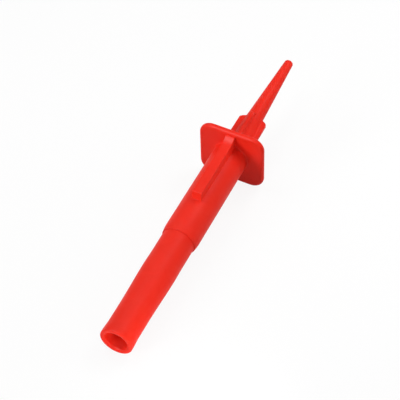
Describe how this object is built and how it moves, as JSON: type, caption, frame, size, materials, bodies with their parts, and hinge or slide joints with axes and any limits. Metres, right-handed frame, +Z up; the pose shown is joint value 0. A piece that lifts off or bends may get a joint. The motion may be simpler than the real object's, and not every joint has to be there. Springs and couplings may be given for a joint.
{
  "type": "grabber test hook",
  "caption": "Spring-loaded grabber test hook: a sleeve with a square finger guard slides back along a hollow handle and pushes hooked jaws out of a slender nose.",
  "frame": {"origin": "centre of the mouth of the lead socket's contact", "axes": "+X along the hook's axis towards the tip of the nose, +Z up and square to one side of the finger guard, which lies on the table on its -Z side"},
  "size_m": [0.1425, 0.0254, 0.0254],
  "materials": {
    "red_plastic": "satin moulded polyamide",
    "plated_brass": "nickel-plated brass",
    "steel": "drawn stainless steel wire"
  },
  "bodies": {
    "handle": {"handle_shell": "red_plastic", "contact_carrier": "red_plastic", "socket_contact": "plated_brass", "front_guide": "red_plastic", "contact_stem": "plated_brass", "spring_washer": "steel", "return_spring": "steel", "jaw_ferrule": "plated_brass"},
    "sleeve": {"sleeve": "red_plastic", "nose": "red_plastic"},
    "jaw_left": {"jaw_left": "steel"},
    "jaw_right": {"jaw_right": "steel"}
  },
  "joints": [
    {"name": "sleeve_slide", "type": "slide", "parent": "handle", "child": "sleeve", "axis": [-1, 0, 0], "range_m": [0, 0.009], "stiffness_N_per_m": 600, "springref_m": -0.0075, "deforming": ["return_spring"]},
    {"name": "jaw_left_open", "type": "hinge", "parent": "handle", "child": "jaw_left", "pos_m": [0.127, 0.00032, 0.00036], "axis": [0, 0, 1], "range_deg": [0, 8]},
    {"name": "jaw_right_open", "type": "hinge", "parent": "handle", "child": "jaw_right", "pos_m": [0.127, -0.00032, -0.00036], "axis": [0, 0, -1], "range_deg": [0, 8]}
  ],
  "couplings": [
    {"joint": "jaw_left_open", "follows": "sleeve_slide", "rad_per_m": 15.5},
    {"joint": "jaw_right_open", "follows": "sleeve_slide", "rad_per_m": 15.5}
  ]
}
